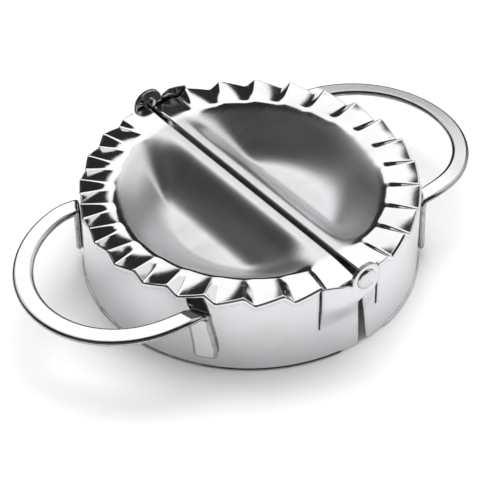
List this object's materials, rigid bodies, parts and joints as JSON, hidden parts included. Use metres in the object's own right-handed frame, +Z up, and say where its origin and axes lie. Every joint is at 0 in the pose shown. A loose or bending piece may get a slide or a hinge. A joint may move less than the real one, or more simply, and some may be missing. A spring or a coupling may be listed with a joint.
{
  "type": "folding empanada press",
  "caption": "Round folding press in polished sheet steel with toothed crimp rims, dished halves, riveted hinges and a strap loop handle on each half.",
  "frame": {"origin": "centre of the round base, on the surface that the press stands on", "axes": "+Z up; the hinge line runs along Y at a height of 25 mm; the handles point to -X (left half) and +X (right half)"},
  "size_m": [0.1458, 0.0999, 0.0298],
  "materials": {
    "skirt_steel": "mirror-polished stainless steel sheet",
    "plate_steel": "polished stainless steel sheet, satin in the dish",
    "handle_steel": "mirror-polished flattened steel",
    "rivet_steel": "polished steel rivet"
  },
  "bodies": {
    "left_half": {"left_skirt": "skirt_steel", "left_crimp_plate": "plate_steel", "left_handle": "handle_steel", "front_rivet": "rivet_steel", "back_rivet": "rivet_steel"},
    "right_half": {"right_skirt": "skirt_steel", "right_crimp_plate": "plate_steel", "right_handle": "handle_steel"}
  },
  "joints": [
    {"name": "fold", "type": "hinge", "parent": "left_half", "child": "right_half", "pos_m": [0, 0, 0.025], "axis": [0, -1, 0], "range_deg": [0, 180]}
  ]
}
